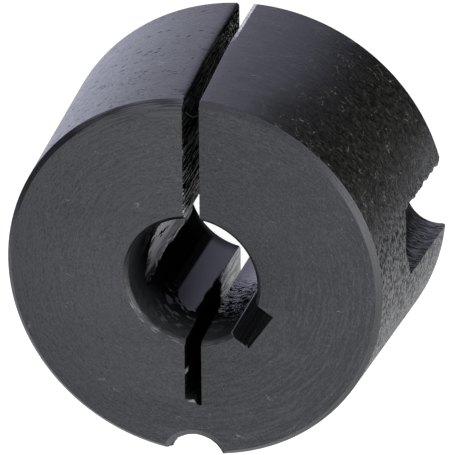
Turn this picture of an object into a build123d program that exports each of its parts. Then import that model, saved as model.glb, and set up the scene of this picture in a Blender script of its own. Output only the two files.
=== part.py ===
from build123d import *
import math
import os

# Split taper bush, 8 degree included taper, stood on its large end.
# Frame: origin at the centre of the large end face, +Z along the bore towards
# the small end, the through slit at +Y, the relief slit at -Y. Millimetres.

# ---- driving dimensions -------------------------------------------------
large_end_dia = 38.4        # outside diameter where the taper meets the large end
length = 22.2               # face to face
half_taper_deg = 4.0        # 8 degrees included
rim_chamfer = 0.55          # broken edge round both faces

bore_dia = 12.1             # in the free state; it closes on a 12 mm shaft
bore_chamfer = 0.45
key_width = 4.0
key_floor = 7.8             # bore axis to keyway floor (1.8 mm deep key seat)
key_angle = -33.5           # direction of the keyway about +Z

slit_width = 1.5            # saw cut
slit_x_small = 0.02         # the cut's middle at the small face
slit_x_mid = -0.42          # at mid length: the saw wandered to one side
slit_x_large = -0.47        # and at the large face
relief_depth_left = 12.0    # relief cut, from the bore axis
relief_depth_right = 12.4   # its bottom is stepped
relief_step_x = 0.38        # where the step is, from the cut's middle

screw_dia = 6.35            # quarter-inch screws
screw_circle_r = 18.45      # pitch radius of the half holes, close to the taper
set_hole_angles = (5.2, 185.2)   # plain half holes that the set screws lie in
set_hole_depth = 12.3       # full-diameter depth from the large end
drill_point_deg = 118.0

jack_angle = -88.9          # threaded half hole for the jacking screw
jack_core_dia = 5.3         # thread crests; the thread's roots are at screw_dia
jack_countersink = 0.75     # radial width of the countersink at each face
jack_countersink_depth = 0.5

# ---- derived ------------------------------------------------------------
r_large = large_end_dia / 2
r_small = r_large - length * math.tan(math.radians(half_taper_deg))
c = rim_chamfer
slope = math.tan(math.radians(half_taper_deg))
screw_r = screw_dia / 2
point_h = screw_r / math.tan(math.radians(drill_point_deg / 2))
reach = large_end_dia

os.makedirs("parts", exist_ok=True)

with BuildPart() as taper_bush:
    # turned blank: a cone frustum with both rims broken
    with BuildSketch(Plane.XZ) as blank:
        with BuildLine():
            Polyline(
                (0, 0),
                (r_large - c, 0),
                (r_large - c * slope, c),
                (r_small + c * slope, length - c),
                (r_small - c, length),
                (0, length),
                close=True,
            )
        make_face()
    revolve(axis=Axis.Z)

    # bore, with both mouths chamfered
    with BuildSketch(Plane.XZ) as bore_cut:
        with BuildLine():
            Polyline(
                (0, 0),
                (bore_dia / 2 + bore_chamfer, 0),
                (bore_dia / 2, bore_chamfer),
                (bore_dia / 2, length - bore_chamfer),
                (bore_dia / 2 + bore_chamfer, length),
                (0, length),
                close=True,
            )
        make_face()
    revolve(axis=Axis.Z, mode=Mode.SUBTRACT)

    # broached keyway, right through
    with BuildSketch(Plane.XY) as key_seat:
        with Locations(Location((0, 0, 0), (0, 0, 1), key_angle)):
            Rectangle(key_floor, key_width, align=(Align.MIN, Align.CENTER))
    extrude(amount=length, mode=Mode.SUBTRACT)

    # through slit, from the bore out at +Y
    with BuildSketch(Plane.XZ) as slit:
        with BuildLine():
            Polyline(
                (slit_x_large - slit_width / 2, 0),
                (slit_x_large + slit_width / 2, 0),
                (slit_x_mid + slit_width / 2, length / 2),
                (slit_x_small + slit_width / 2, length),
                (slit_x_small - slit_width / 2, length),
                (slit_x_mid - slit_width / 2, length / 2),
                close=True,
            )
        make_face()
    extrude(amount=-reach, mode=Mode.SUBTRACT)

    # relief slit: the same saw cut carried part of the way into the wall at -Y
    extrude(slit.sketch, amount=relief_depth_left, mode=Mode.SUBTRACT)
    with BuildSketch(Plane.XZ) as relief_step:
        with BuildLine():
            Polyline(
                (slit_x_large + relief_step_x, 0),
                (slit_x_large + slit_width / 2, 0),
                (slit_x_mid + slit_width / 2, length / 2),
                (slit_x_small + slit_width / 2, length),
                (slit_x_small + relief_step_x, length),
                (slit_x_mid + relief_step_x, length / 2),
                close=True,
            )
        make_face()
    extrude(amount=relief_depth_right, mode=Mode.SUBTRACT)

    # two plain half holes for the set screws: blind, open at the large end
    for angle in set_hole_angles:
        with BuildSketch(
            Plane(
                origin=(
                    screw_circle_r * math.cos(math.radians(angle)),
                    screw_circle_r * math.sin(math.radians(angle)),
                    0,
                ),
                x_dir=(math.cos(math.radians(angle)), math.sin(math.radians(angle)), 0),
                z_dir=(math.sin(math.radians(angle)), -math.cos(math.radians(angle)), 0),
            )
        ) as drill:
            with BuildLine():
                Polyline(
                    (0, 0),
                    (screw_r, 0),
                    (screw_r, set_hole_depth),
                    (0, set_hole_depth + point_h),
                    close=True,
                )
            make_face()
        revolve(
            axis=Axis(
                (
                    screw_circle_r * math.cos(math.radians(angle)),
                    screw_circle_r * math.sin(math.radians(angle)),
                    0,
                ),
                (0, 0, 1),
            ),
            mode=Mode.SUBTRACT,
        )

    # jacking half hole, right through, countersunk at both faces
    jack_x = screw_circle_r * math.cos(math.radians(jack_angle))
    jack_y = screw_circle_r * math.sin(math.radians(jack_angle))
    with BuildSketch(
        Plane(origin=(jack_x, jack_y, 0), x_dir=(1, 0, 0), z_dir=(0, -1, 0))
    ) as jack:
        with BuildLine():
            Polyline(
                (0, 0),
                (jack_core_dia / 2 + jack_countersink, 0),
                (jack_core_dia / 2, jack_countersink_depth),
                (jack_core_dia / 2, length - jack_countersink_depth),
                (jack_core_dia / 2 + jack_countersink, length),
                (0, length),
                close=True,
            )
        make_face()
    revolve(axis=Axis((jack_x, jack_y, 0), (0, 0, 1)), mode=Mode.SUBTRACT)

taper_bush.part.label = "taper_bush"
export_step(taper_bush.part, "parts/taper_bush.step")

if __name__ == "__main__":
    box = taper_bush.part.bounding_box()
    print("solids", len(taper_bush.part.solids()))
    print("size", box.size, "min", box.min)
    print("volume cm3", round(taper_bush.part.volume / 1000, 3))
    print("small end dia", round(2 * r_small, 3))
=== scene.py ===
import bpy
import math
import numpy as np
from mathutils import Matrix, Vector, noise
from mathutils.geometry import tessellate_polygon


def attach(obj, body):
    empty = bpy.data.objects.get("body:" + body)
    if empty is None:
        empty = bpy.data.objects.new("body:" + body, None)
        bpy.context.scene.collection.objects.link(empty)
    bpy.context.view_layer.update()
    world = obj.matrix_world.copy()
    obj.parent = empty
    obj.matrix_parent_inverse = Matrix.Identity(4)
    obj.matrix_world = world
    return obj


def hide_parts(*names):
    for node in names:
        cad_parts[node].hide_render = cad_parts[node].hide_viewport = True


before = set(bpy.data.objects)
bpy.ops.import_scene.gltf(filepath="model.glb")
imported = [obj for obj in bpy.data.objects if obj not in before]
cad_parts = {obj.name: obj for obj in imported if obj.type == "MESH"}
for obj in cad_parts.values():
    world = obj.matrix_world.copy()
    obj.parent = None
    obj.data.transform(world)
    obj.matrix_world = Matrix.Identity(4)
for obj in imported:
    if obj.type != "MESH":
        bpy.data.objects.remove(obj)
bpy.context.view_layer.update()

# ---------------------------------------------------------------------------
# sizes, in millimetres: the CAD's, but for the broken edges of the rims and
# the bore's mouths, which are as turned, and the roots of the thread
# ---------------------------------------------------------------------------
L = 22.2
TAN = math.tan(math.radians(4.0))
R0 = 19.2
RIM_AX, RIM_RAD = 0.57, 0.50
BORE_R, BORE_AX, BORE_RAD = 6.05, 0.50, 0.44
HOLE_C = 18.45
SET_R, SET_DEPTH = 3.175, 12.3
SET_PHI = {"right": 5.2, "left": 185.2}
JACK_PHI = -88.9
JACK_CORE, JACK_ROOT, PITCH = 2.65, 3.13, 1.27
JACK_CS, JACK_CS_AX = 0.75, 0.5
KEY_ANG, KEY_HW, KEY_FLOOR = math.radians(-33.5), 2.0, 7.8
SLIT_HW = 0.75
RELIEF = 12.0


def smooth_pos(s, e):
    return 0.5 * (s + np.sqrt(s * s + e * e))


def fade(x, a, b):
    t = np.clip((x - a) / (b - a), 0, 1)
    return t * t * (3 - 2 * t)


def chamfer(d, axial, radial, e=0.03):
    """how far an edge stands back at distance d from the face"""
    if d <= 0:
        return radial + 0.015
    return float(smooth_pos(radial * (1 - d / axial), e))


def worn_rim(d, far=False):
    """turned chamfer on the outer edge, the small face's a little larger"""
    a, r = (0.47, 0.38) if far else (RIM_AX, RIM_RAD)
    return float(smooth_pos(r * (1 - d / a), 0.018)) if d > 0 else r + 0.009


def wob(x, y, seed, scale=1.0):
    """gentle seeded noise, about -1 to 1"""
    return noise.noise(Vector((x * scale + seed * 17.3, y * scale - seed * 5.1, seed * 3.7)))


def slit_mid(z, y):
    """middle of the saw cut: it wanders to -X away from the small face"""
    base = -0.46 + 0.47 * float(fade(z, 8.0, 24.5)) * 1.06
    return base + 0.05 - 0.006 * y


def slit_half(z, y):
    d = min(z, L - z)
    lip = 0.05 - math.sqrt(max(0.0, 0.05 ** 2 - max(0.0, 0.05 - d) ** 2)) if d < 0.05 else 0.0
    return SLIT_HW + lip


def steps(z, seed, period):
    """torn edge: a sawtooth of uneven teeth"""
    k = z / period + 0.35 * wob(z, 0, seed, 0.6)
    i = math.floor(k)
    f = k - i
    amp = 0.65 + 0.35 * math.sin(i * 12.9898 + seed * 4.1)
    return amp * (f ** 1.4) - 0.3


# ---------------------------------------------------------------------------
# one level of the bush: since the slit opens the ring, its section is a
# single closed loop, walked counter-clockwise with the metal on the left
# ---------------------------------------------------------------------------
N = dict(arcA=36, nL=26, arcB=30, jack=46, arcC=30, nR=34, arcD=33, slitR=34, boreR=28,
         key1=7, keyF=12, key2=7, boreK=10, relR=22, relB=9, relL=22, boreL=46, slitL=34)
ORDER = ["arcA", "nL", "arcB", "jack", "arcC", "nR", "arcD", "slitR", "boreR", "key1", "keyF",
         "key2", "boreK", "relR", "relB", "relL", "boreL", "slitL"]
CORNER = 4
# the broken corner of a set-screw half hole: how far it is torn back, down its length
TEAR = np.array([(0.0, 0.86), (0.4, 0.70), (0.9, 0.40), (1.45, 0.20), (1.6, 0.56), (2.2, 0.50), (3.05, 0.26), (3.2, 0.52), (3.5, 0.46),
                 (4.85, 0.20), (5.05, 0.46), (6.1, 0.42), (7.25, 0.20), (7.42, 0.40), (8.1, 0.26), (8.3, 0.44), (9.2, 0.26),
                 (9.4, 0.40), (10.15, 0.22), (10.35, 0.58), (10.7, 0.54), (11.6, 0.20), (11.8, 0.34), (12.3, 0.28), (22.2, 0.25)]).T


def arc_points(r, a0, a1, u):
    a = a0 + (a1 - a0) * u
    return np.c_[r * np.cos(a), r * np.sin(a)]


def line_points(p, q, u):
    return p[None, :] + (q - p)[None, :] * u[:, None]


def set_radius(z):
    if z <= SET_DEPTH:
        return SET_R
    return max(0.0, SET_R - (z - SET_DEPTH) * math.tan(math.radians(59)))


def thread_r(theta, z):
    """quarter-inch thread of the jacking half hole, right hand"""
    ph = (z / PITCH - theta / (2 * math.pi)) % 1.0
    tri = 1 - abs(2 * ph - 1)          # 0 at the crest of the metal, 1 at the root
    prof = float(np.clip((tri - 0.16) / 0.68, 0, 1))
    prof = prof * prof * (3 - 2 * prof) * 0.35 + prof * 0.65
    torn = 0.05 * wob(theta * 2.2, z, 5, 1.6)
    r = JACK_CORE + (JACK_ROOT - JACK_CORE) * prof + torn * (1 - prof)
    for d in (L - z, z):
        if d < JACK_CS_AX + 0.1:
            r = max(r, JACK_CORE + JACK_CS * (1 - max(d, 0) / JACK_CS_AX) + 0.02 * wob(theta * 3, d, 9, 2.0))
    return r


def level(z):
    dn, df = L - z, z
    Ro = R0 - z * TAN - worn_rim(dn) - worn_rim(df, True)
    rb = BORE_R + chamfer(dn, BORE_AX, BORE_RAD) + chamfer(df, BORE_AX, BORE_RAD)
    edge_d = min(dn, df)
    nick = 0.05 * max(0.0, 1 - edge_d / 0.06)
    seg = {}

    def outer_at(side):
        x = 0.0
        for _ in range(4):
            y = math.sqrt(Ro * Ro - x * x)
            x = slit_mid(z, y) + side * slit_half(z, y)
        return np.array([x, y])

    def bore_at(side, sy):
        x = 0.0
        for _ in range(4):
            y = sy * math.sqrt(rb * rb - x * x)
            x = slit_mid(z, y) + side * slit_half(z, y)
        return np.array([x, y])

    oL, oR = outer_at(-1), outer_at(1)
    bL, bR = bore_at(-1, 1), bore_at(1, 1)
    rL, rR = bore_at(-1, -1), bore_at(1, -1)

    # half holes
    def hole(phi_deg, radius_a, radius_b):
        phi = math.radians(phi_deg)

        def beta(r):
            c = (Ro * Ro + HOLE_C * HOLE_C - r * r) / (2 * Ro * HOLE_C)
            return math.acos(c) if c < 1 else 0.0
        ba, bb = beta(radius_a), beta(radius_b)
        pa = Ro * np.array([math.cos(phi - ba), math.sin(phi - ba)])
        pb = Ro * np.array([math.cos(phi + bb), math.sin(phi + bb)])
        c = HOLE_C * np.array([math.cos(phi), math.sin(phi)])
        return phi, ba, bb, pa, pb, c

    def rel_angle(p, c, psi):
        a = math.atan2(p[1] - c[1], p[0] - c[0]) - psi
        return (a + math.pi) % (2 * math.pi) - math.pi

    holes = {}
    for name, phi in (("nL", SET_PHI["left"]), ("nR", SET_PHI["right"] + 0.0)):
        r = set_radius(z)
        if edge_d < 0.12 and df < 0.12:
            r += 0.08 * (1 - df / 0.12)
        ph, ba, bb, pa, pb, c = hole(phi, r, r)
        psi = ph + math.pi
        sa, sb = (rel_angle(pa, c, psi), rel_angle(pb, c, psi)) if ba > 0 else (0.0, 0.0)
        holes[name] = (ph, ba, bb, pa, pb, c, psi, sa, sb, r)
    # the threaded one: the corner's radius depends on where the thread is there
    ph = math.radians(JACK_PHI)
    psi = ph + math.pi
    ra, rb_ = JACK_CORE, JACK_CORE
    for _ in range(5):
        _, ba, bb, pa, pb, c = hole(JACK_PHI, ra, rb_)
        sa, sb = rel_angle(pa, c, psi), rel_angle(pb, c, psi)
        ra, rb_ = thread_r(psi + sa, z), thread_r(psi + sb, z)
    holes["jack"] = (ph, ba, bb, pa, pb, c, psi, sa, sb, None)

    aL = math.atan2(oL[1], oL[0])
    aR = math.atan2(oR[1], oR[0]) + 2 * math.pi
    hl, hj, hr = holes["nL"], holes["jack"], holes["nR"]
    two = 2 * math.pi
    phL, phJ, phR = hl[0], hj[0] + two, hr[0] + two

    def outer_arc(a0, a1):
        return (lambda u: arc_points(Ro, a0, a1, u)), Ro * abs(a1 - a0)
    seg["arcA"] = outer_arc(aL, phL - hl[1])
    seg["arcB"] = outer_arc(phL + hl[2], phJ - hj[1])
    seg["arcC"] = outer_arc(phJ + hj[2], phR - hr[1])
    seg["arcD"] = outer_arc(phR + hr[2], aR)

    def hole_arc(h, fn):
        _, ba, bb, pa, pb, c, psi, sa, sb, r = h
        if ba <= 0:
            return (lambda u: np.repeat(pa[None, :], len(u), 0)), 0.0

        def pts(u):
            s = sa + (sb - sa) * u
            rr = np.array([fn(psi + q) for q in s])
            return np.c_[c[0] + rr * np.cos(psi + s), c[1] + rr * np.sin(psi + s)]
        return pts, abs(sb - sa) * (r if r else JACK_CORE)
    seg["nL"] = hole_arc(hl, lambda q: hl[9])
    seg["nR"] = hole_arc(hr, lambda q: hr[9])
    seg["jack"] = hole_arc(hj, lambda q: thread_r(q, z))

    def wall(p, q, side, seed):
        def pts(u):
            P = line_points(p, q, u)
            for k in range(len(P)):
                y = P[k, 1]
                off = 0.010 * wob(y * 1.2, z * 0.22, seed, 1.0) + 0.006 * wob(y * 4.0 + z * 0.7, z * 0.3, seed + 1, 1.0)
                if seed == 61:      # a burr standing in from the relief slit's wall, at the small face
                    off += 0.20 * math.exp(-((y + 9.15) / 0.13) ** 2) * float(fade(z, L - 1.6, L - 0.5))
                env = min(1.0, min(u[k], 1 - u[k]) * 12)
                P[k, 0] = slit_mid(z, y) + side * slit_half(z, y) + off * env
            return P
        return pts, float(np.linalg.norm(q - p))
    seg["slitR"] = wall(oR, bR, 1, 21)
    seg["slitL"] = wall(bL, oL, -1, 31)

    # bore: clockwise from the slit's right wall
    n = np.array([math.cos(KEY_ANG), math.sin(KEY_ANG)])
    t = np.array([-n[1], n[0]])
    khw = KEY_HW + nick
    kfl = KEY_FLOOR + nick
    kk = math.sqrt(rb * rb - khw * khw)
    k1, k2 = n * kk + t * khw, n * kk - t * khw
    f1, f2 = n * kfl + t * khw, n * kfl - t * khw
    a_bR = math.atan2(bR[1], bR[0])
    a_k1, a_k2 = math.atan2(k1[1], k1[0]), math.atan2(k2[1], k2[0])
    a_rR, a_rL = math.atan2(rR[1], rR[0]), math.atan2(rL[1], rL[0])
    a_bL = math.atan2(bL[1], bL[0]) - two

    def bore_arc(a0, a1):
        return (lambda u: arc_points(rb, a0, a1, u)), rb * abs(a1 - a0)
    seg["boreR"] = bore_arc(a_bR, a_k1)
    seg["boreK"] = bore_arc(a_k2, a_rR)
    seg["boreL"] = bore_arc(a_rL, a_bL)
    seg["key1"] = ((lambda u: line_points(k1, f1, u)), float(np.linalg.norm(f1 - k1)))
    seg["keyF"] = ((lambda u: line_points(f1, f2, u)), float(np.linalg.norm(f2 - f1)))
    seg["key2"] = ((lambda u: line_points(f2, k2, u)), float(np.linalg.norm(k2 - f2)))

    # relief slit: its bottom is ragged, deeper by the right wall
    ragR = 12.36 + 0.10 * wob(z, 1.0, 41, 0.5) + nick
    ragL = RELIEF - 0.05 + 0.10 * wob(z, 2.0, 43, 0.5) + nick
    xr = slit_mid(z, -ragR) + slit_half(z, -ragR)
    xl = slit_mid(z, -ragL) - slit_half(z, -ragL)
    q1, q2 = np.array([xr, -ragR]), np.array([xl, -ragL])
    seg["relR"] = wall(rR, q1, 1, 51)
    seg["relL"] = wall(q2, rL, -1, 61)

    def bottom(u):
        P = line_points(q1, q2, u)
        for k in range(len(P)):
            s = u[k]
            stepdown = 1 - fade(s, 0.33, 0.41)
            y = -(ragL + (ragR - ragL) * stepdown)
            y += -0.10 * math.sin(s * 9.0 + 0.7) * (1 - abs(2 * s - 1)) + 0.05 * wob(s * 6, z * 1.3, 71, 1.0) * (1 - abs(2 * s - 1))
            P[k, 1] = y
        return P
    seg["relB"] = (bottom, float(np.linalg.norm(q2 - q1)))

    # how far each corner is broken: (before, after), by the segment it ends
    shrink = min(1.0, hr[9] / SET_R) if hr[1] > 0 else 0.0
    torn = float(np.interp(z, TEAR[0], TEAR[1])) + 0.04 * wob(z, 4.0, 81, 3.3)
    torn2 = float(np.interp(z + 0.37, TEAR[0], TEAR[1][::-1])) - 0.06 + 0.05 * wob(z, 6.0, 83, 3.3)
    torn += (0.34 * wob(z, 2.0, 85, 1.7) + 0.22 * wob(z, 2.0, 86, 4.1)) * float(fade(z, 4.5, 6.5)) * float(fade(z, 12.2, 10.8))
    torn, torn2 = max(0.06, torn), max(0.06, torn2)
    soft = float(fade(z, 0.2, 1.6)) * float(fade(z, 21.9, 20.4))
    lip = 0.12 + soft * (0.24 + 0.05 * wob(z, 1.0, 91, 0.5) + 0.02 * wob(z, 1.0, 92, 2.5))
    lip_out = lip + 0.38 * soft
    lip2 = 0.11 + 0.05 * wob(z, 3.0, 93, 1.6) + (0.05 + 0.05 * float(fade(z, 10.0, 6.0))) * wob(z, 5.0, 94, 4.0) + 0.07 * float(fade(z, 10.0, 6.0))
    cut = {
        "slitL": (lip, lip_out), "arcD": (lip2, 0.10),
        "arcA": (0.05, 0.05), "nL": (torn2 * shrink, torn2 * shrink),
        "arcB": (0.06, 0.05), "jack": (0.05, 0.06),
        "arcC": (0.05, 0.05), "nR": (torn * 0.9 * shrink, torn * shrink),
        "slitR": (0.05, 0.05), "boreR": (0.05, 0.05), "key1": (0.05, 0.05), "keyF": (0.05, 0.05),
        "key2": (0.10, 0.09), "boreK": (0.06, 0.06), "relR": (0.06, 0.06), "relB": (0.08, 0.08),
        "relL": (0.06, 0.06), "boreL": (0.05, 0.05),
    }
    trim0, trim1 = {}, {}
    for i, name in enumerate(ORDER):
        nxt = ORDER[(i + 1) % len(ORDER)]
        b, a = cut[name]
        trim1[name] = min(b, 0.3 * seg[name][1])
        trim0[nxt] = min(a, 0.3 * seg[nxt][1])
    out = []
    for i, name in enumerate(ORDER):
        fn, length = seg[name]
        nxt = ORDER[(i + 1) % len(ORDER)]
        if length > 0:
            u = np.linspace(trim0[name] / length, 1 - trim1[name] / length, N[name])
        else:
            u = np.linspace(0, 1, N[name])
        P = fn(u)
        out.append(P)
        fn2, length2 = seg[nxt]
        B = fn2(np.array([trim0[nxt] / length2 if length2 > 0 else 0.0]))[0]
        A = P[-1]
        K = fn(np.array([1.0]))[0]
        ctrl = K
        if (name, nxt) in (("nR", "arcD"), ("nL", "arcB")):
            ctrl = 0.25 * K + 0.75 * (A + B) / 2
        s = (np.arange(CORNER) + 1) / (CORNER + 1)
        out.append(((1 - s) ** 2)[:, None] * A + (2 * s * (1 - s))[:, None] * ctrl + (s ** 2)[:, None] * B)
    return np.vstack(out)


# which column belongs to which segment
tags = []
for name in ORDER:
    tags += [name] * N[name] + [name + "+"] * CORNER
NC = len(tags)

near = [0, 0.012, 0.03, 0.06, 0.11, 0.18, 0.26, 0.34, 0.42, 0.48, 0.53, 0.57, 0.61, 0.68, 0.78, 0.9]
zs = set([round(d, 4) for d in near] + [round(L - d, 4) for d in near])
for z in np.linspace(1.03, L - 1.03, 124):
    zs.add(round(float(z), 4))
for z in (12.26, 12.3, 12.36, 13.9, 14.0, 14.05, 14.1):
    zs.add(z)
zs = sorted(zs)
NZ = len(zs)
grid = np.zeros((NZ, NC, 3))
for i, z in enumerate(zs):
    P = level(z)
    grid[i, :, :2] = P
    grid[i, :, 2] = z

verts = grid.reshape(-1, 3) * 0.001
SLOTS = ["taper", "rim", "face", "face_far", "bore", "mouth", "key", "sawn", "drilled", "thread", "torn", "edge"]
CORNER_SLOT = {"nR": "torn", "nL": "torn", "arcD": "torn", "key2": "edge"}
SEG_SLOT = {"arcA": "taper", "arcB": "taper", "arcC": "taper", "arcD": "taper", "nL": "drilled", "nR": "drilled",
            "jack": "thread", "slitR": "sawn", "slitL": "sawn", "relR": "sawn", "relB": "sawn", "relL": "sawn",
            "boreR": "bore", "boreK": "bore", "boreL": "bore", "key1": "key", "keyF": "key", "key2": "key"}
faces, mats = [], []
for i in range(NZ - 1):
    zmid = 0.5 * (zs[i] + zs[i + 1])
    d = min(zmid, L - zmid)
    for j in range(NC):
        k = (j + 1) % NC
        tag = tags[j].rstrip("+")
        if tags[j].endswith("+"):
            nxt = ORDER[(ORDER.index(tag) + 1) % len(ORDER)]
            a, b = SEG_SLOT[tag], SEG_SLOT[nxt]
            slot = CORNER_SLOT.get(tag, a if a not in ("sawn",) else b)
        else:
            slot = SEG_SLOT[tag]
        if slot == "taper" and d < RIM_AX:
            slot = "rim"
        if slot == "bore" and d < BORE_AX:
            slot = "mouth"
        faces.append((i * NC + j, i * NC + k, (i + 1) * NC + k, (i + 1) * NC + j))
        mats.append(SLOTS.index(slot))
top = [(NZ - 1) * NC + j for j in range(NC)]
low = [j for j in range(NC)]
loop = [Vector((verts[v][0] * 1000, verts[v][1] * 1000, 0)) for v in low]
for tri in tessellate_polygon([loop]):
    faces.append(tuple(reversed([low[v] for v in tri])))
    mats.append(SLOTS.index("face_far"))
loop = [Vector((verts[v][0] * 1000, verts[v][1] * 1000, 0)) for v in top]
for tri in tessellate_polygon([loop]):
    faces.append(tuple(top[v] for v in tri))
    mats.append(SLOTS.index("face"))

mesh = bpy.data.meshes.new("bush_body")
mesh.from_pydata([tuple(v) for v in verts], [], faces)
mesh.polygons.foreach_set("material_index", mats)
mesh.update()

import bmesh
bm = bmesh.new()
bm.from_mesh(mesh)
bmesh.ops.remove_doubles(bm, verts=bm.verts, dist=2e-7)
bmesh.ops.dissolve_degenerate(bm, edges=bm.edges, dist=1e-8)
bmesh.ops.recalc_face_normals(bm, faces=bm.faces)
bm.to_mesh(mesh)
bad = sum(1 for e in bm.edges if len(e.link_faces) != 2)
vol = bm.calc_volume() * 1e9
print("contour", NC, "levels", NZ, "triangles", sum(len(f.verts) - 2 for f in bm.faces), "open edges", bad, "volume mm3", round(vol))
bm.free()
slots_now = [0] * len(mesh.polygons)
mesh.polygons.foreach_get("material_index", slots_now)
mesh.polygons.foreach_set("use_smooth", [SLOTS[m] not in ("face", "face_far") for m in slots_now])
mesh.set_sharp_from_angle(angle=math.radians(32))
bush = bpy.data.objects.new("bush_body", mesh)
bpy.context.scene.collection.objects.link(bush)

# ---------------------------------------------------------------------------
# materials: every pattern is measured in millimetres round and along the axis
# ---------------------------------------------------------------------------
class Net:
    def __init__(self, name, world=None):
        tc_out, k = "Object", 1000.0
        if world is None:
            self.m = bpy.data.materials.new(name)
            self.m.use_nodes = True
            self.t = self.m.node_tree
            self.bsdf = self.t.nodes["Principled BSDF"]
        else:
            world.use_nodes = True
            self.t = world.node_tree
            tc_out, k = "Generated", 1.0
        tc = self.t.nodes.new("ShaderNodeTexCoord")
        sc = self.t.nodes.new("ShaderNodeVectorMath")
        sc.operation = "SCALE"
        sc.inputs["Scale"].default_value = k
        self.link(tc.outputs[tc_out], sc.inputs[0])
        self.pos = sc.outputs[0]
        sep = self.t.nodes.new("ShaderNodeSeparateXYZ")
        self.link(self.pos, sep.inputs[0])
        self.x, self.y, self.z = sep.outputs
        # the angle starts at -Y, so its seam falls in the open slit
        self.ang = self.math("ARCTAN2", self.x, self.math("MULTIPLY", self.y, -1.0))
        self.r = self.math("SQRT", self.math("ADD", self.math("MULTIPLY", self.x, self.x), self.math("MULTIPLY", self.y, self.y)))

    def link(self, a, b):
        self.t.links.new(a, b)

    def put(self, sock, v):
        if isinstance(v, (int, float)):
            sock.default_value = v
        elif isinstance(v, tuple):
            sock.default_value = v if len(v) == len(sock.default_value) else (*v, 1)
        else:
            self.link(v, sock)

    def math(self, op, a, b=None, c=None, clamp=False):
        n = self.t.nodes.new("ShaderNodeMath")
        n.operation = op
        n.use_clamp = clamp
        for i, v in enumerate((a, b, c)):
            if v is not None:
                self.put(n.inputs[i], v)
        return n.outputs[0]

    def add(self, *v):
        out = v[0]
        for w in v[1:]:
            out = self.math("ADD", out, w)
        return out

    def mul(self, *v):
        out = v[0]
        for w in v[1:]:
            out = self.math("MULTIPLY", out, w)
        return out

    def vec(self, x, y, z):
        n = self.t.nodes.new("ShaderNodeCombineXYZ")
        for i, v in enumerate((x, y, z)):
            self.put(n.inputs[i], v)
        return n.outputs[0]

    def noise(self, v, scale=1.0, detail=2.0, rough=0.5, dist=0.0):
        n = self.t.nodes.new("ShaderNodeTexNoise")
        self.link(v, n.inputs["Vector"])
        n.inputs["Scale"].default_value = scale
        n.inputs["Detail"].default_value = detail
        n.inputs["Roughness"].default_value = rough
        n.inputs["Distortion"].default_value = dist
        return n.outputs[0]

    def cells(self, v, scale=1.0, random=1.0, feature="F1"):
        n = self.t.nodes.new("ShaderNodeTexVoronoi")
        n.feature = feature
        self.link(v, n.inputs["Vector"])
        n.inputs["Scale"].default_value = scale
        n.inputs["Randomness"].default_value = random
        return n

    def range(self, v, a, b, c=0.0, d=1.0, smooth=False):
        n = self.t.nodes.new("ShaderNodeMapRange")
        n.interpolation_type = "SMOOTHSTEP" if smooth else "LINEAR"
        self.put(n.inputs[0], v)
        for i, w in enumerate((a, b, c, d)):
            n.inputs[i + 1].default_value = w
        return n.outputs[0]

    def curve(self, v, stops):
        """piecewise linear in v, given as (v, value)"""
        lo, hi = stops[0][0], stops[-1][0]
        f = self.range(v, lo, hi)
        n = self.t.nodes.new("ShaderNodeValToRGB")
        els = n.color_ramp.elements
        while len(els) < len(stops):
            els.new(0.5)
        for e, (p, w) in zip(els, stops):
            e.position = (p - lo) / (hi - lo)
            e.color = (w, w, w, 1)
        self.link(f, n.inputs[0])
        return n.outputs[0]

    def mix(self, f, a, b):
        n = self.t.nodes.new("ShaderNodeMix")
        n.data_type = "RGBA"
        self.put(n.inputs[0], f)
        self.put(n.inputs[6], a)
        self.put(n.inputs[7], b)
        return n.outputs[2]

    def mixf(self, f, a, b):
        n = self.t.nodes.new("ShaderNodeMix")
        n.data_type = "FLOAT"
        self.put(n.inputs[0], f)
        self.put(n.inputs[2], a)
        self.put(n.inputs[3], b)
        return n.outputs[0]

    def bump(self, h, microns, normal=None):
        n = self.t.nodes.new("ShaderNodeBump")
        n.inputs["Strength"].default_value = 1.0
        n.inputs["Distance"].default_value = microns * 1e-6
        self.link(h, n.inputs["Height"])
        if normal is not None:
            self.link(normal, n.inputs["Normal"])
        return n.outputs[0]

    def set(self, **kw):
        names = {"base": "Base Color", "rough": "Roughness", "normal": "Normal", "spec": "Specular IOR Level",
                 "tint": "Specular Tint", "ior": "IOR", "metal": "Metallic", "coat": "Coat Weight",
                 "coat_rough": "Coat Roughness"}
        for k, v in kw.items():
            self.put(self.bsdf.inputs[names[k]], v)
        return self.m


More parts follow.
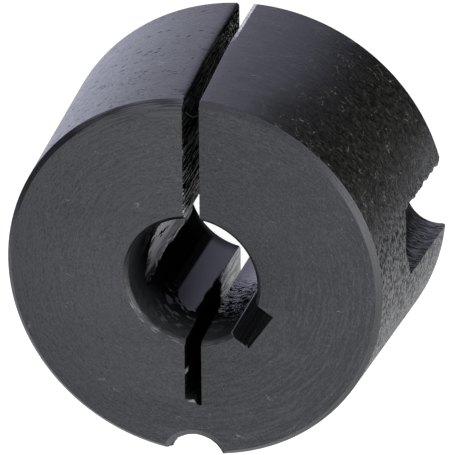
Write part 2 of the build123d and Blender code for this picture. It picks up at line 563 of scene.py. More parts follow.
def mat_taper():
    n = Net("oxide_taper")
    s = n.mul(n.ang, 18.0)
    ring = n.vec(n.mul(s, 0.36), n.z, 0.0)       # stretched round the axis, as the tool left it
    # rougher skin towards +X and below it, smooth on the +Y side
    coarse = n.curve(n.ang, [(-3.15, 0.06), (-2.6, 0.14), (-2.1, 0.35), (-1.5, 0.85), (0.6, 1.0), (1.65, 1.0), (1.82, 0.75), (1.95, 0.42), (2.1, 0.28), (2.35, 0.16), (2.7, 0.06), (3.15, 0.05)])
    # dull brownish scale, thickest on the +X +Y shoulder, thin beside the half hole at the large end
    clean = n.mul(n.range(n.ang, 1.93, 2.06, 1.0, 0.0, True), n.range(n.add(n.z, n.mul(n.add(n.noise(n.pos, 0.5, 2.0), -0.5), 4.0)), 4.0, 8.5, 1.0, 0.0, True))
    on = n.add(n.ang, n.mul(n.range(n.z, 10.0, 21.0, 0.0, -0.15, True), n.range(n.ang, 2.3, 2.5, 0.0, 1.0)))
    scaly = n.mul(n.curve(on, [(-3.15, 0.0), (-2.0, 0.08), (-1.0, 0.12), (0.9, 0.12), (1.3, 0.18), (1.55, 0.28), (1.75, 0.36), (1.87, 0.5), (1.97, 0.85), (2.1, 1.0), (2.4, 1.0), (2.56, 0.55), (2.75, 0.12), (3.15, 0.02)]),
                  n.range(clean, 0.0, 1.0, 1.0, 0.12))
    cloud = n.noise(n.pos, 0.16, 3.0, 0.5)
    grain = n.noise(n.vec(n.mul(s, 0.7), n.z, 0.0), 4.6, 3.0, 0.62)
    fleck = n.noise(n.vec(n.mul(s, 0.78), n.z, 5.0), 3.3, 3.0, 0.62)
    patch = n.noise(n.vec(n.mul(s, 0.7), n.z, 2.0), 1.3, 3.0, 0.6)
    grain2 = n.noise(ring, 2.4, 2.0, 0.5)
    # pits: short dashes round the axis
    pc = n.cells(n.vec(n.mul(s, 0.42), n.z, 0.0), 1.6)
    keep = n.math("GREATER_THAN", n.noise(n.vec(n.mul(s, 0.2), n.z, 9.0), 0.7, 2.0, 0.5), 0.465)
    pc2 = n.cells(n.vec(n.mul(s, 0.5), n.z, 3.0), 3.3)
    keep2 = n.mul(n.range(n.noise(n.vec(n.mul(s, 0.3), n.z, 4.0), 0.55, 3.0, 0.6), 0.44, 0.53, 0.0, 1.0), n.range(n.z, 6.0, 15.0, 0.35, 1.0))
    where = n.curve(n.ang, [(-3.15, 0.8), (-2.0, 1.0), (-1.5, 0.6), (1.0, 0.6), (1.8, 0.4), (2.15, 0.0), (3.0, 0.0), (3.15, 0.5)])
    pit = n.mul(n.math("MAXIMUM", n.mul(n.range(pc.outputs["Distance"], 0.07, 0.23, 0.92, 0.0, True), keep),
                       n.mul(n.range(pc2.outputs["Distance"], 0.09, 0.30, 0.9, 0.0, True), keep2)), where)
    # hair-like flecks of pale scale, lying askew
    wx = n.mul(n.add(n.noise(n.pos, 0.9, 2.0), -0.5), 2.6)
    wy = n.mul(n.add(n.noise(n.vec(n.z, n.x, n.y), 0.9, 2.0), -0.5), 2.6)
    u = n.add(n.mul(s, 0.8), n.mul(n.z, 0.55), wx)
    v = n.add(n.mul(n.z, 0.8), n.mul(s, -0.5), wy)
    hc = n.cells(n.vec(n.mul(u, 0.42), n.mul(v, 2.1), 0.0), 1.3)
    hc2 = n.cells(n.vec(n.mul(u, 2.1), n.mul(v, 0.42), 0.0), 1.2)
    hk = n.range(n.noise(n.pos, 0.45, 3.0, 0.6), 0.38, 0.51, 0.0, 1.0)
    hair = n.math("MAXIMUM", n.range(hc.outputs["Distance"], 0.05, 0.23, 1.0, 0.0, True), n.range(hc2.outputs["Distance"], 0.05, 0.21, 1.0, 0.0, True))
    hair = n.mul(hair, hk, n.range(grain, 0.42, 0.54, 0.12, 1.0))
    dark = n.mul(n.range(fleck, 0.43, 0.53, 1.0, 0.0, True), n.math("MINIMUM", n.mul(coarse, 1.4), 1.0))
    film = n.mul(scaly, n.range(patch, 0.30, 0.55, 0.75, 1.0))
    scale = n.mix(n.range(fleck, 0.38, 0.66), (0.0025, 0.0025, 0.0024), (0.0190, 0.0180, 0.0145))
    base = n.mix(cloud, (0.0050, 0.0050, 0.0055), (0.0085, 0.0083, 0.0080))
    base = n.mix(film, base, scale)
    rusty = n.mul(n.range(patch, 0.47, 0.60, 0.0, 1.0, True), n.range(fleck, 0.50, 0.60, 0.0, 1.0, True), n.range(scaly, 0.3, 0.8), n.range(n.ang, 2.22, 2.48, 1.0, 0.0, True), n.range(n.z, 7.0, 15.0, 0.25, 1.0))
    base = n.mix(n.mul(rusty, 0.7), base, (0.040, 0.040, 0.030))
    speckle = n.mul(n.range(fleck, 0.51, 0.61, 0.0, 1.0, True), n.range(n.ang, 1.55, 2.0, 1.0, 0.0, True), n.range(n.ang, 0.5, 1.15, 0.22, 1.0), coarse)
    base = n.mix(speckle, base, (0.088, 0.086, 0.076))
    base = n.mix(n.mul(hair, n.curve(scaly, [(0.0, 0.22), (0.1, 0.16), (0.4, 0.55), (0.9, 0.85), (1.0, 0.85)])), base, (0.150, 0.143, 0.118))
    # painted highlight: pale dashes along the slit's right lip at the large end stand for the light that edge catches
    lip = n.mul(n.range(n.add(n.x, n.mul(n.noise(n.vec(n.z, 0.0, 0.0), 2.4, 2.0), -0.30)), 0.38, 0.44, 1.0, 0.0, True), n.range(n.y, 15.0, 16.0), n.range(n.x, 0.0, 0.05),
                n.range(n.z, 6.5, 9.0, 1.0, 0.0), n.range(grain, 0.36, 0.48, 0.2, 1.0))
    base = n.mix(lip, base, (0.62, 0.62, 0.60))
    nick = n.mul(n.range(n.math("ABSOLUTE", n.add(n.z, -13.0)), 0.7, 1.0, 1.0, 0.0, True), n.range(n.math("ABSOLUTE", n.add(n.ang, 2.88)), 0.035, 0.055, 1.0, 0.0, True),
                 n.range(n.noise(n.vec(n.mul(s, 0.5), n.mul(n.z, 2.2), 1.0), 1.6, 1.0, 0.5), 0.60, 0.65, 0.0, 1.0, True))
    base = n.mix(nick, base, (0.20, 0.20, 0.215))
    base = n.mix(pit, base, (0.002, 0.002, 0.002))
    scuff = n.noise(n.vec(n.mul(s, 0.35), n.z, 8.0), 0.8, 3.0, 0.65)
    spec = n.mul(n.range(dark, 0.0, 1.0, 0.66, 0.04), n.range(scuff, 0.36, 0.64, 0.88, 1.08), n.range(film, 0.0, 1.0, 1.0, 0.22), n.curve(on, [(2.1, 1.0), (2.3, 0.5), (2.5, 0.3), (2.6, 0.5), (2.74, 1.0)]), n.range(pit, 0.0, 1.0, 1.0, 0.2))
    rough = n.add(n.mixf(coarse, 0.24, 0.33), n.mul(n.range(grain2, 0.3, 0.7), 0.06), n.mul(pit, 0.40), n.mul(film, 0.12))
    h = n.add(n.mul(grain, n.mixf(coarse, 0.02, 2.0)), n.mul(pit, -0.5), n.mul(hair, 0.2),
              n.mul(grain2, n.mixf(coarse, 0.03, 0.9)), n.mul(fleck, n.mul(coarse, 3.2)))
    return n.set(base=base, rough=rough, spec=spec, normal=n.bump(h, 70.0), tint=(0.93, 0.94, 1.0, 1.0))


def mat_face(far=False):
    n = Net("oxide_face_far" if far else "oxide_face")
    wander = n.mul(n.add(n.noise(n.pos, 0.35, 2.0), -0.5), 0.4)
    rr = n.add(n.r, wander)
    cuts = n.noise(n.vec(rr, n.mul(n.ang, 1.1), 0.0), 3.4, 2.0, 0.6)
    fine = n.noise(n.vec(rr, n.mul(n.ang, 5.0), 2.0), 5.6, 2.0, 0.65)
    fine2 = n.noise(n.vec(n.mul(rr, 1.0), n.mul(n.ang, 9.0), 6.0), 9.0, 1.0, 0.5)
    grain = n.noise(n.pos, 7.5, 2.0, 0.6)
    speck = n.cells(n.pos, 2.1)
    sk = n.math("GREATER_THAN", n.noise(n.pos, 0.9, 1.0), 0.52)
    spot = n.mul(n.range(speck.outputs["Distance"], 0.06, 0.22, 1.0, 0.0, True), sk)
    cloud = n.noise(n.pos, 0.12, 3.0, 0.55)
    # the facing lines show most by the rim and on the -Y +X quarter
    band = n.range(n.r, 15.9, 16.5, 0.0, 1.0, True)
    by_rim = n.mul(band, n.add(n.range(n.ang, -2.60, -2.40, 0.9, 0.15, True), n.range(n.ang, 2.7, 3.0, 0.0, 0.25, True)))
    clear = n.add(n.curve(n.ang, [(-3.14, 0.30), (-2.9, 0.46), (-1.4, 0.46), (-0.8, 0.24), (3.14, 0.24)]), n.mul(n.range(n.ang, -0.5, 0.6, 0.0, 0.62, True), n.range(n.ang, 1.2, 2.2, 1.0, 0.0, True), n.range(n.r, 7.5, 10.5, 0.0, 1.0, True)))
    turn = n.noise(n.vec(n.r, n.mul(n.ang, 0.35), 9.0), 7.0, 1.0, 0.5)
    fx = n.add(n.x, n.mul(n.add(n.noise(n.pos, 1.1, 2.0), -0.5), 2.2))
    fy = n.add(n.y, n.mul(n.add(n.noise(n.vec(n.y, n.x, 3.0), 1.1, 2.0), -0.5), 2.2))
    fibre = n.math("MAXIMUM", n.range(n.cells(n.vec(n.mul(n.add(fx, fy), 1.3), n.mul(n.add(fy, n.mul(fx, -1.0)), 0.26), 0.0), 0.9).outputs["Distance"], 0.04, 0.13, 1.0, 0.0, True),
                   n.range(n.cells(n.vec(n.mul(fx, 0.26), n.mul(fy, 1.4), 5.0), 0.8).outputs["Distance"], 0.04, 0.12, 1.0, 0.0, True))
    fibre = n.mul(fibre, n.range(n.noise(n.vec(n.x, n.y, 7.0), 0.3, 2.0, 0.6), 0.50, 0.58, 0.0, 1.0), n.range(grain, 0.44, 0.56, 0.1, 1.0))
    chip = n.mul(n.range(n.math("ABSOLUTE", n.add(n.x, 0.02)), 0.34, 0.46, 1.0, 0.0, True), n.range(n.math("ABSOLUTE", n.add(n.y, 12.06)), 0.10, 0.20, 1.0, 0.0, True),
                 n.range(n.noise(n.pos, 5.0, 2.0, 0.6), 0.42, 0.54, 0.0, 1.0, True))
    # painted shade: the tone runs lighter towards -X and darker towards +X across the whole face
    tone = n.add(n.mul(n.add(n.range(cuts, 0.36, 0.64), -0.5), clear), n.mul(n.add(n.range(fine, 0.34, 0.66), -0.5), 0.78),
                 n.mul(n.add(n.range(fine2, 0.34, 0.66), -0.5), 0.60), n.mul(n.add(n.range(grain, 0.34, 0.66), -0.5), 0.6),
                 n.mul(n.add(cloud, -0.5), 0.4), n.range(n.x, -17.0, 17.0, 0.32, -0.30), n.mul(n.range(n.r, 13.5, 16.5), n.range(n.ang, -1.2, -1.6, 0.0, 0.22, True), n.range(n.ang, -2.9, -2.5, 0.0, 1.0, True)), n.mul(by_rim, n.add(n.range(turn, 0.40, 0.60), -0.5), 1.6), 0.5)
    base = n.mix(n.math("MULTIPLY", tone, 1.0, clamp=True), (0.0190, 0.0197, 0.0218), (0.0510, 0.0522, 0.0560))
    base = n.mix(n.mul(spot, n.range(grain, 0.35, 0.6)), base, (0.10, 0.10, 0.10))
    base = n.mix(fibre, base, (0.15, 0.15, 0.15))
    if not far:
        base = n.mix(chip, base, (0.24, 0.24, 0.24))
    rough = n.add(0.40, n.mul(grain, 0.12))
    h = n.add(n.mul(cuts, 0.6), n.mul(fine, 0.8), n.mul(grain, 1.0), n.mul(spot, 0.5), n.mul(by_rim, turn, 1.6))
    return n.set(base=base, rough=rough, normal=n.bump(h, 45.0))


def mat_rim():
    n = Net("oxide_rim")
    lines = n.noise(n.vec(n.z, n.mul(n.ang, 0.5), n.r), 8.5, 1.0, 0.6)
    grain = n.noise(n.pos, 6.0, 2.0, 0.6)
    # turned lines show on the +Y side, next to the slit
    rings = n.range(n.ang, -2.62, -2.42, 1.0, 0.08, True)
    tone = n.add(n.mul(n.add(n.range(lines, 0.40, 0.60), -0.5), n.add(0.25, n.mul(rings, 0.9))), n.mul(n.add(n.range(grain, 0.34, 0.66), -0.5), 1.1), 0.5)
    base = n.mix(n.math("MULTIPLY", tone, 1.0, clamp=True), (0.006, 0.006, 0.0065), (0.026, 0.026, 0.0275))
    black = n.mul(n.range(n.ang, -2.62, -2.42, 0.0, 1.0, True), n.range(n.ang, -1.95, -1.75, 1.0, 0.0, True))
    base = n.mix(n.mul(black, 0.8), base, (0.0035, 0.0035, 0.0037))
    side = n.mul(n.range(n.ang, -1.2, -1.5, 0.0, 1.0, True), n.range(n.ang, -1.95, -1.75, 0.0, 1.0, True))
    base = n.mix(n.mul(side, n.range(grain, 0.3, 0.6, 0.7, 1.0)), base, (0.046, 0.047, 0.049))
    base = n.mix(n.mul(rings, n.range(lines, 0.42, 0.60)), base, (0.072, 0.073, 0.078))
    rough = n.add(0.26, n.mul(grain, 0.14))
    return n.set(base=base, rough=rough, spec=n.range(black, 0.0, 1.0, 0.5, 0.30), normal=n.bump(n.add(n.mul(lines, rings, 1.6), n.mul(grain, 0.8)), 30.0))


def mat_bore():
    n = Net("oxide_bore")
    s = n.mul(n.ang, 6.05)
    # a lapped, glossy hole: streaky only on the -X side, rumpled near the small face
    wa = n.mul(n.add(n.noise(n.vec(n.mul(s, 1.6), n.mul(n.z, 0.45), 1.0), 1.0, 2.0, 0.5), -0.5), 0.20)
    wb = n.add(wa, n.range(n.z, 13.0, 17.0, 0.0, -0.10, True))
    left = n.mul(n.range(n.add(n.ang, wb), -1.24, -1.17, 1.0, 0.0, True), n.range(n.add(n.ang, n.mul(wb, 0.8)), -1.62, -1.54, 0.35, 1.0, True))
    left2 = n.mul(n.range(n.add(n.ang, wb), -2.0, -1.9, 0.0, 1.0, True), n.range(n.add(n.ang, wb), -1.70, -1.66, 1.0, 0.0, True), n.range(n.z, 15.5, 18.5, 1.0, 0.0), n.range(n.noise(n.vec(n.mul(s, 2.4), n.mul(n.z, 0.3), 6.0), 1.0, 2.0, 0.6), 0.44, 0.56, 0.0, 1.0, True))
    # painted shade: clear and broken mark bands where the bore is blacked out by taking its reflection away
    clear = n.mul(n.range(n.add(n.ang, wb), -1.20, -1.15, 0.0, 1.0, True), n.range(n.ang, -0.80, -0.72, 1.0, 0.0, True))
    broken = n.mul(n.range(n.add(n.ang, n.mul(wa, 0.8)), -0.26, -0.20, 0.0, 1.0, True), n.range(n.ang, 0.0, 0.02, 1.0, 0.0), n.range(n.z, 5.5, 8.5, 0.0, 1.0, True))
    smear = n.noise(n.vec(n.mul(s, 1.2), n.mul(n.z, 0.10), 0.0), 1.0, 2.0, 0.5)
    dash = n.noise(n.vec(n.mul(s, 2.6), n.mul(n.z, 0.42), 4.0), 1.0, 2.0, 0.55)
    crack = n.mul(left, n.range(dash, 0.56, 0.62, 0.0, 1.0, True), n.range(n.ang, -1.50, -1.32, 1.0, 0.35, True))
    edge = n.add(n.z, n.mul(n.add(n.noise(n.vec(n.mul(s, 0.8), n.mul(n.z, 0.4), 2.0), 1.0, 2.0, 0.5), -0.5), 0.9),
                 n.mul(n.curve(n.ang, [(-3.0, 13.0), (-1.62, 13.4), (-1.42, 15.6), (-1.22, 17.6), (-1.08, 17.8), (-0.98, 15.8), (-0.8, 13.6), (-0.70, 13.4), (-0.63, 14.0), (-0.56, 15.0), (-0.47, 15.7), (-0.34, 16.1), (-0.2, 15.9), (0.5, 15.8)]), -1.0))
    low = n.mul(n.range(edge, -0.15, 0.45, 0.0, 1.0, True), n.range(n.ang, 0.25, 0.5, 1.0, 0.0, True))
    where = n.mul(n.range(n.ang, -0.90, -0.72, 0.0, 1.0, True), n.range(n.z, 20.3, 21.2, 1.0, 0.0, True))
    blob = n.range(n.noise(n.vec(n.mul(n.add(s, n.mul(n.z, 0.35)), 0.75), n.mul(n.add(n.z, n.mul(s, -0.45)), 1.35), 3.0), 1.0, 2.0, 0.5), 0.50, 0.60, 0.0, 1.0, True)
    glint = n.mul(low, where, blob)
    # torn patch between the relief slit and the keyway
    side = n.range(n.ang, 0.02, 0.08, 0.0, 1.0, True)
    torn = n.mul(side, n.curve(n.z, [(0.0, 0.0), (6.0, 0.12), (8.5, 0.55), (11.0, 0.9), (18.0, 0.9), (20.0, 0.5), (22.0, 0.2)]))
    rip = n.noise(n.vec(n.mul(n.add(s, n.mul(n.z, 0.18)), 1.25), n.mul(n.add(n.z, n.mul(s, -0.25)), 2.7), n.mul(s, 0.2)), 1.0, 3.0, 0.6, 0.7)
    gash = n.mul(torn, n.range(n.add(rip, n.range(n.z, 11.0, 19.5, 0.0, 0.09)), 0.50, 0.57, 0.0, 1.0, True))
    dim = n.mul(side, n.range(n.add(n.z, n.mul(n.add(rip, -0.5), 6.0)), 17.6, 19.4, 0.0, 0.85, True))
    rim_dim = n.range(n.z, 0.6, 2.7, 0.9, 0.0, True)
    grain = n.noise(n.pos, 6.0, 2.0, 0.6)
    base = n.mix(smear, (0.0020, 0.0020, 0.0021), (0.0040, 0.0040, 0.0046))
    mottle = n.noise(n.vec(n.mul(n.add(s, n.mul(n.z, -0.4)), 2.2), n.mul(n.z, 1.1), 7.0), 1.0, 3.0, 0.6)
    # painted light: where the reflection is taken away, the colour is lightened towards the small face in its place,
    # here and on the torn patch
    base = n.mix(n.mul(low, n.range(n.z, 16.0, 21.6, 0.0, 1.0), n.range(n.ang, -1.3, -0.45, 0.45, 1.0), n.range(mottle, 0.36, 0.62, 0.68, 1.08)), base, (0.047, 0.049, 0.049))
    base = n.mix(n.mul(side, n.range(n.z, 16.5, 20.5, 0.0, 0.8)), base, (0.030, 0.031, 0.031))
    base = n.mix(n.mul(glint, 0.9), base, (0.05, 0.05, 0.058))
    # painted reflection: a pale lavender strip by the large end on the -X -Y side
    base = n.mix(n.mul(n.range(n.z, 0.1, 1.6, 1.0, 0.0), n.range(n.ang, -1.15, -0.8, 0.0, 1.0, True), n.range(n.ang, -0.30, -0.20, 1.0, 0.0, True)), base, (0.060, 0.060, 0.068))
    base = n.mix(n.mul(left2, 0.8), base, (0.040, 0.040, 0.044))
    rough = n.add(0.045, n.mul(left, 0.09), n.mul(torn, 0.12), n.mul(low, 0.25), n.mul(rim_dim, 0.25))
    # painted shade: these masks take the bore's specular level down towards nothing, blacking out bands of the bore,
    # its small-face end and a strip at the large end; crack and gash put the same painted shade on real streaks and
    # tears
    painted_shade = n.add(n.mul(low, n.mixf(glint, 1.0, 0.1)), dim, rim_dim, n.mul(clear, 0.9), n.mul(broken, 0.85), n.mul(crack, 0.85), n.mul(gash, 0.95), n.range(n.z, 3.0, 14.5, 0.06, 0.50))
    spec = n.range(n.math("MINIMUM", painted_shade, 1.0), 0.0, 1.0, 0.47, 0.0)
    h = n.add(n.mul(left, smear, 0.55), n.mul(left, dash, 0.12), n.mul(grain, 0.006), n.mul(torn, rip, 1.3), n.mul(glint, 0.6))
    return n.set(base=base, rough=rough, spec=spec, normal=n.bump(h, 95.0), tint=(0.74, 0.77, 1.0, 1.0))


def mat_mouth():
    n = Net("oxide_mouth")
    lines = n.noise(n.vec(n.add(n.z, n.mul(n.ang, 0.25)), n.mul(n.ang, 0.7), n.r), 8.5, 1.0, 0.5)
    grain = n.noise(n.pos, 3.5, 3.0, 0.6)
    # scratched bright on the -X -Y quarter, towards its outer edge
    worn = n.mul(n.range(n.ang, -1.32, -0.98, 0.08, 1.0, True), n.range(n.ang, -0.25, 0.1, 1.0, 0.2, True), n.range(n.r, 6.16, 6.32, 0.15, 1.0, True))
    tone = n.mul(n.range(lines, 0.50, 0.62, 0.0, 1.0, True), worn, n.range(grain, 0.35, 0.55, 0.4, 1.0))
    base = n.mix(n.mul(n.range(n.ang, -2.2, -1.6), n.range(n.r, 6.10, 6.22)), (0.005, 0.005, 0.0055), (0.024, 0.023, 0.025))
    base = n.mix(tone, base, (0.21, 0.215, 0.215))
    base = n.mix(n.mul(worn, 0.35), base, (0.055, 0.056, 0.056))
    rough = n.add(0.27, n.mul(grain, 0.15))
    shine = n.range(n.ang, -2.0, -1.35, 0.05, 0.5, True)
    return n.set(base=base, rough=rough, spec=shine, normal=n.bump(n.add(n.mul(lines, 1.5), n.mul(grain, 0.6)), 40.0))


def mat_key():
    n = Net("oxide_key")
    cn, sn = math.cos(KEY_ANG), math.sin(KEY_ANG)
    out = n.add(n.mul(n.x, cn), n.mul(n.y, sn))
    drawn = n.noise(n.vec(n.mul(n.x, 2.2), n.mul(n.y, 2.2), n.mul(n.z, 0.06)), 1.6, 2.0, 0.6)
    grain = n.noise(n.pos, 4.0, 3.0, 0.6)
    # a pale, broken line beside the floor
    line = n.mul(n.range(n.math("ABSOLUTE", n.add(out, -KEY_FLOOR + 0.24)), 0.03, 0.09, 1.0, 0.0, True), n.range(grain, 0.42, 0.52, 0.15, 1.0))
    base = n.mix(grain, (0.0018, 0.0018, 0.0018), (0.0045, 0.0045, 0.0045))
    base = n.mix(line, base, (0.075, 0.075, 0.072))
    rough = n.add(0.42, n.mul(grain, 0.15))
    return n.set(base=base, rough=rough, normal=n.bump(n.add(n.mul(drawn, 2.0), grain), 30.0), spec=n.mul(drawn, 0.3))


def mat_sawn():
    n = Net("oxide_sawn")
    # the blade ran along the axis: broken ridges that lie along it, pale with painted highlights for their glints
    streak = n.noise(n.vec(n.mul(n.z, 0.26), n.mul(n.y, 6.4), n.mul(n.x, 0.3)), 1.0, 2.0, 0.6)
    breaks = n.noise(n.vec(n.mul(n.z, 2.1), n.mul(n.y, 3.6), 5.0), 1.0, 2.0, 0.6)
    grain = n.noise(n.pos, 3.5, 4.0, 0.65)
    up = n.range(n.y, 0.0, 1.0)
    # the painted ridge highlights are boldest by the bore and at the outer, large end, where they are cross-hatched
    by_bore = n.mul(up, n.curve(n.y, [(0.0, 1.0), (7.5, 1.0), (9.5, 0.60), (12.0, 0.34), (14.0, 0.12), (16.0, 0.05), (20.0, 0.05)]))
    by_rim = n.mul(n.range(n.y, 14.6, 16.8, 0.0, 1.0, True), n.curve(n.z, [(0.0, 1.0), (3.5, 0.9), (6.5, 0.40), (9.5, 0.12), (14.0, 0.08), (22.2, 0.08)]))
    depth = n.add(19.15, n.mul(n.z, -0.07), n.mul(n.y, -1.0))
    by_rim = n.mul(by_rim, n.range(depth, 0.45, 1.15, 0.0, 1.0))
    rail = n.mul(n.range(n.math("ABSOLUTE", n.add(n.y, n.mul(n.z, 0.245), -18.78)), 0.03, 0.11, 1.0, 0.0, True), n.range(n.z, 8.6, 9.4, 0.0, 1.0, True),
                 n.range(n.z, 13.0, 16.5, 1.0, 0.0, True), n.range(n.noise(n.vec(0.0, 0.0, n.z), 1.5, 2.0, 0.6), 0.42, 0.50, 0.15, 1.0, True))
    cross = n.cells(n.vec(n.add(n.y, n.mul(n.z, 0.5)), n.add(n.z, n.mul(n.y, -0.6)), 0.0), 3.3)
    thick = n.add(streak, n.range(n.y, 6.0, 9.0, 0.05, 0.0))
    ridge_glint = n.mul(n.range(thick, 0.52, 0.58, 0.0, 1.0, True), n.range(breaks, 0.36, 0.50, 0.0, 1.0, True))
    hatch = n.mul(n.range(cross.outputs["Distance"], 0.26, 0.46, 1.0, 0.0, True), n.range(grain, 0.40, 0.50), by_rim)
    # burnished patch on the relief slit's -X wall, by the large end
    wave = n.mul(n.add(n.noise(n.vec(n.mul(n.y, 1.3), n.mul(n.z, 0.3), 8.0), 1.0, 3.0, 0.6), -0.5), 5.0)
    shiny = n.mul(n.range(n.y, -5.0, -4.6, 1.0, 0.0), n.range(n.x, -0.25, -0.15, 1.0, 0.0), n.range(n.add(n.z, wave), 6.6, 8.3, 1.0, 0.0, True))
    smudge = n.range(n.noise(n.vec(n.mul(n.y, 2.4), n.mul(n.z, 0.35), 2.0), 1.0, 2.0, 0.5), 0.42, 0.62, 0.0, 1.0, True)
    # one curved scratch across the slit's wall by the small face
    sz = n.add(n.z, -15.3)
    cy = n.add(n.y, n.mul(sz, -0.177), n.mul(sz, sz, -0.0466))
    scratch = n.mul(n.range(n.math("ABSOLUTE", n.add(cy, -13.66)), 0.03, 0.10, 1.0, 0.0, True), n.range(n.z, 15.2, 15.6, 0.0, 1.0, True), n.range(n.z, 20.6, 21.0, 1.0, 0.0, True))
    burr = n.mul(n.range(n.math("ABSOLUTE", n.add(n.y, 9.15)), 0.12, 0.28, 1.0, 0.0, True), n.range(n.z, L - 1.2, L - 0.5, 0.0, 1.0, True), n.range(n.x, 0.0, 0.1, 1.0, 0.0))
    # the relief slit's wall is plain black with faint lines towards its end
    faint = n.mul(n.range(n.y, -9.2, -8.4, 1.0, 0.0, True), n.range(streak, 0.50, 0.60, 0.0, 1.0, True))
    base = n.mix(n.range(grain, 0.35, 0.65), (0.0010, 0.0010, 0.0010), (0.0050, 0.0050, 0.0050))
    # painted highlight: pale streaks on the ridges and the hatching stand for their glints
    base = n.mix(n.mul(ridge_glint, by_bore), base, (0.46, 0.46, 0.455))
    base = n.mix(hatch, base, (0.60, 0.60, 0.59))
    base = n.mix(rail, base, (0.34, 0.34, 0.33))
    base = n.mix(n.mul(faint, 0.10), base, (0.20, 0.20, 0.20))
    base = n.mix(n.math("MAXIMUM", scratch, burr), base, (0.20, 0.20, 0.19))
    base = n.mix(shiny, base, (0.03, 0.03, 0.032))
    rough = n.add(n.mixf(shiny, 0.5, 0.17), n.mul(grain, 0.12), n.mul(shiny, smudge, 0.12))
    spec = n.add(n.mixf(shiny, 0.0, 0.70), n.mul(ridge_glint, by_bore, 0.5), n.mul(hatch, 0.35), n.mul(shiny, smudge, -0.35))
    h = n.add(n.mul(streak, n.mixf(shiny, 2.0, 0.10)), n.mul(grain, n.mixf(shiny, 0.6, 0.03)), n.mul(hatch, 0.8))
    return n.set(base=base, rough=rough, spec=spec, normal=n.bump(h, 70.0))


def mat_drilled():
    n = Net("oxide_drilled")
    # feed marks of the drill: wavering, broken arcs down the hole
    wav = n.add(n.z, n.mul(n.noise(n.vec(n.mul(n.x, 0.9), n.mul(n.y, 0.9), n.mul(n.z, 0.6)), 1.0, 2.0), 1.3))
    arcs = n.noise(n.vec(n.mul(n.x, 0.9), n.mul(n.y, 0.9), n.mul(wav, 8.0)), 1.0, 2.0, 0.7)
    rag = n.noise(n.vec(n.mul(n.x, 1.0), n.mul(n.y, 1.0), n.mul(n.z, 3.0)), 1.5, 3.0, 0.6)
    # painted shade: the back of each half hole is made darker and barely glossy, and its gloss fades towards the blind
    # end
    recess_shade = n.range(n.r, 15.6, 17.9, 1.0, 0.0, True)
    tone = n.mul(n.range(arcs, 0.50, 0.60, 0.0, 1.0, True), n.range(recess_shade, 0.0, 1.0, 1.0, 0.15))
    base = n.mix(tone, (0.0012, 0.0012, 0.0014), (0.105, 0.105, 0.106))
    rough = n.add(0.32, n.mul(rag, 0.2))
    spec = n.mul(n.range(recess_shade, 0.0, 1.0, 0.62, 0.06), n.range(arcs, 0.42, 0.56, 0.20, 1.0), n.range(n.z, 2.0, 7.5, 1.0, 0.24))
    h = n.add(n.mul(arcs, 1.5), n.mul(rag, 0.7))
    return n.set(base=base, rough=rough, spec=spec, normal=n.bump(h, 60.0), tint=(0.92, 0.93, 1.0, 1.0))


def mat_torn():
    """broken corners beside the half holes and along the saw cut"""
    n = Net("oxide_torn")
    grit = n.noise(n.pos, 4.5, 3.0, 0.65)
    cut_lip = n.range(n.y, 9.0, 12.0, 0.0, 1.0, True)
    # painted highlight: pale flecks along the saw cut's broken lip, strongest at the large end
    pale = n.mul(cut_lip, n.range(n.z, 8.0, 14.0, 1.0, 0.2, True), n.range(grit, 0.42, 0.52, 0.0, 1.0, True))
    base = n.mix(n.math("MAXIMUM", cut_lip, n.range(n.z, 10.8, 11.6)), (0.030, 0.030, 0.032), (0.004, 0.004, 0.004))
    base = n.mix(n.mul(n.range(grit, 0.40, 0.60), 0.4), base, (0.012, 0.012, 0.012))
    base = n.mix(pale, base, (0.52, 0.52, 0.50))
    rough = n.add(0.36, n.mul(grit, 0.2))
    return n.set(base=base, rough=rough, normal=n.bump(grit, 60.0), spec=n.range(cut_lip, 0.0, 1.0, 0.5, 0.2))


def mat_edge():
    """burr left along the keyway's lower edge"""
    n = Net("oxide_edge")
    grit = n.noise(n.vec(n.mul(n.x, 2.0), n.mul(n.y, 2.0), n.mul(n.z, 0.8)), 1.2, 3.0, 0.6)
    base = n.mix(n.range(grit, 0.38, 0.60), (0.020, 0.020, 0.022), (0.12, 0.12, 0.125))
    return n.set(base=base, rough=n.add(0.25, n.mul(grit, 0.15)), normal=n.bump(grit, 20.0))


def mat_thread():
    n = Net("oxide_thread")
    rag = n.noise(n.vec(n.mul(n.x, 2.0), n.mul(n.y, 2.0), n.mul(n.z, 3.0)), 1.2, 3.0, 0.6)
    base = n.mix(rag, (0.006, 0.006, 0.0065), (0.02, 0.02, 0.021))
    cs = n.add(n.range(n.z, L - 0.42, L - 0.30, 0.0, 1.0, True), n.range(n.z, 0.30, 0.42, 1.0, 0.0, True))
    base = n.mix(n.mul(cs, n.range(rag, 0.35, 0.6, 0.5, 1.0)), base, (0.075, 0.076, 0.08))
    rough = n.add(0.3, n.mul(rag, 0.2))
    return n.set(base=base, rough=rough, normal=n.bump(rag, 14.0))


made = {"taper": mat_taper(), "rim": mat_rim(), "face": mat_face(), "face_far": mat_face(True), "bore": mat_bore(),
        "mouth": mat_mouth(), "key": mat_key(), "sawn": mat_sawn(), "drilled": mat_drilled(), "thread": mat_thread(),
        "torn": mat_torn(), "edge": mat_edge()}
for name in SLOTS:
    mesh.materials.append(made[name])

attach(bush, "root")
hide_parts("taper_bush")

# ---------------------------------------------------------------------------
# studio: a pale floor and surround for the camera, one soft box overhead, and
# a soft gradient for the metal to mirror
# ---------------------------------------------------------------------------
scene = bpy.context.scene
scene.view_settings.view_transform = "Standard"
scene.view_settings.look = "None"
scene.view_settings.exposure = 0.0
scene.view_settings.gamma = 1.0


def plain(name, verts_, faces_):
    me = bpy.data.meshes.new(name)
    me.from_pydata(verts_, [], faces_)
    ob = bpy.data.objects.new(name, me)
    scene.collection.objects.link(ob)
    return ob


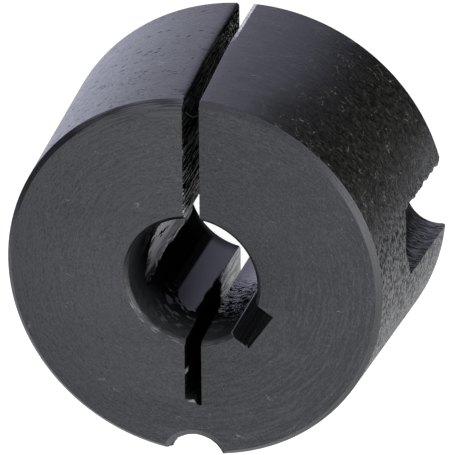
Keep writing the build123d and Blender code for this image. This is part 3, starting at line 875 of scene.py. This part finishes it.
floor = plain("floor", [(-8, -8, 0), (8, -8, 0), (8, 8, 0), (-8, 8, 0)], [(0, 1, 2, 3)])
floor.location = (0, 0, -0.00006)
fmat = bpy.data.materials.new("floor_pale")
fmat.use_nodes = True
fb = fmat.node_tree.nodes["Principled BSDF"]
fb.inputs["Base Color"].default_value = (0.3, 0.3, 0.3, 1)
fb.inputs["Roughness"].default_value = 0.9
fb.inputs["Specular IOR Level"].default_value = 0.0
fb.inputs["Emission Color"].default_value = (1, 1, 1, 1)
fb.inputs["Emission Strength"].default_value = 0.96
floor.data.materials.append(fmat)

for flag in ("visible_diffuse", "visible_glossy", "visible_transmission", "visible_shadow"):
    setattr(floor, flag, False)

dome = plain("surround", *(lambda k: ([(7.5 * math.cos(a), 7.5 * math.sin(a), h) for h in (-0.01, 6.0) for a in [2 * math.pi * i / k for i in range(k)]],
                                      [(i, (i + 1) % k, k + (i + 1) % k, k + i) for i in range(k)] + [tuple(range(k, 2 * k))]))(48))
dmat = bpy.data.materials.new("surround_pale")
dmat.use_nodes = True
dn_ = dmat.node_tree
dem = dn_.nodes.new("ShaderNodeEmission")
dem.inputs["Color"].default_value = (1, 1, 1, 1)
dem.inputs["Strength"].default_value = 1.0
dn_.links.new(dem.outputs[0], dn_.nodes["Material Output"].inputs["Surface"])
dome.data.materials.append(dmat)
for flag in ("visible_diffuse", "visible_glossy", "visible_transmission", "visible_shadow"):
    setattr(dome, flag, False)

# the room as the metal sees it: a soft gradient by direction, darker towards +X+Y
LOW = [(-180, 1.35), (-150, 1.25), (-115, 0.83), (-85, 1.12), (-68, 1.30), (-50, 1.0), (-34, 0.98), (-26, 0.92), (-19, 0.46),
       (-12, 0.08), (-4, 0.02), (50, 0.02), (60, 0.07), (68, 0.27), (76, 0.42), (84, 0.56), (96, 0.66), (112, 0.80), (140, 1.05),
       (158, 1.25), (172, 1.45), (180, 1.35)]
DEEP = [(-180, 0.95), (-90, 1.15), (-60, 1.15), (-46, 0.95), (-34, 0.6), (-21, 0.42), (-17, 0.38), (-12.5, 0.02), (47, 0.02), (51, 0.62),
        (100, 0.72), (136, 0.95), (180, 0.95)]
MID = [(-180, 0.16), (-150, 0.2), (-120, 0.45), (-80, 0.9), (-47, 1.25), (-18, 1.9), (5, 4.0), (22, 3.4), (40, 1.0), (60, 0.8),
       (85, 1.15), (110, 1.05), (127, 0.75), (140, 0.34), (165, 0.18), (180, 0.16)]
TOP = 0.95
world = bpy.data.worlds.new("studio")
scene.world = world
wn = Net("studio", world)
w_az = wn.mul(wn.math("ARCTAN2", wn.y, wn.x), 180 / math.pi)
w_el = wn.mul(wn.math("ARCSINE", wn.z), 180 / math.pi)
steep = wn.range(w_el, -62.2, -59.5, 1.0, 0.0, True)
low = wn.mixf(steep, wn.curve(w_az, LOW), wn.curve(w_az, DEEP))
mid = wn.curve(w_az, MID)
lower = wn.mixf(wn.range(w_el, -36, -12, 0.0, 1.0, True), low, mid)
amount = wn.mixf(wn.range(w_el, 24, 50, 0.0, 1.0, True), lower, TOP)
under = wn.range(w_el, 8, 34, 1.0, 0.0, True)
lav = wn.mul(under, wn.add(wn.range(w_az, 22, 46, 0.0, 1.0, True), wn.range(w_az, -165, -115, 1.0, 0.0, True)))
tone = wn.mix(lav, (0.985, 0.99, 1.04), (0.915, 0.935, 1.15))
bg = wn.t.nodes["Background"]
wn.link(tone, bg.inputs[0])
wn.link(amount, bg.inputs[1])


def soft_box(name, az_, el, dist, w, h, radiance, colour=(1, 1, 1)):
    a, e = math.radians(az_), math.radians(el)
    d = Vector((math.cos(e) * math.cos(a), math.cos(e) * math.sin(a), math.sin(e)))
    li = bpy.data.lights.new(name, "AREA")
    li.shape = "RECTANGLE"
    li.size, li.size_y = w, h
    li.energy = radiance * math.pi * w * h
    li.color = colour
    ob = bpy.data.objects.new(name, li)
    ob.location = d * dist + Vector((0, 0, 0.011))
    ob.rotation_euler = d.to_track_quat("Z", "Y").to_euler()
    scene.collection.objects.link(ob)
    ob.visible_camera = False
    return ob


soft_box("top_box", 240, 63, 1.2, 0.9, 0.9, 0.25)

# camera, solved from the rims, the bore, the slits and the half holes
FOCAL = 3689.67 / 455 * 36.0
TURN = (-2.7029179007545685, -0.07392764470447574, 0.3500379165936183)
SHIFT = (0.13388339734578442, -0.2121869920458037, 20.07911121394208)
UNIT = 0.01769
ang = math.sqrt(sum(v * v for v in TURN))
R = np.array(Matrix.Rotation(ang, 3, Vector(TURN).normalized()))
centre = -R.T @ np.array(SHIFT) * UNIT
axes = R.T @ np.diag([1.0, -1.0, -1.0])
cam_data = bpy.data.cameras.new("camera")
cam_data.lens = FOCAL
cam_data.sensor_width = 36.0
cam_data.sensor_fit = "HORIZONTAL"
cam_data.clip_start = 0.01
cam_data.clip_end = 10.0
cam = bpy.data.objects.new("camera", cam_data)
m4 = Matrix.Identity(4)
for i in range(3):
    for j in range(3):
        m4[i][j] = float(axes[i][j])
    m4[i][3] = float(centre[i])
cam.matrix_world = m4
scene.collection.objects.link(cam)
scene.camera = cam
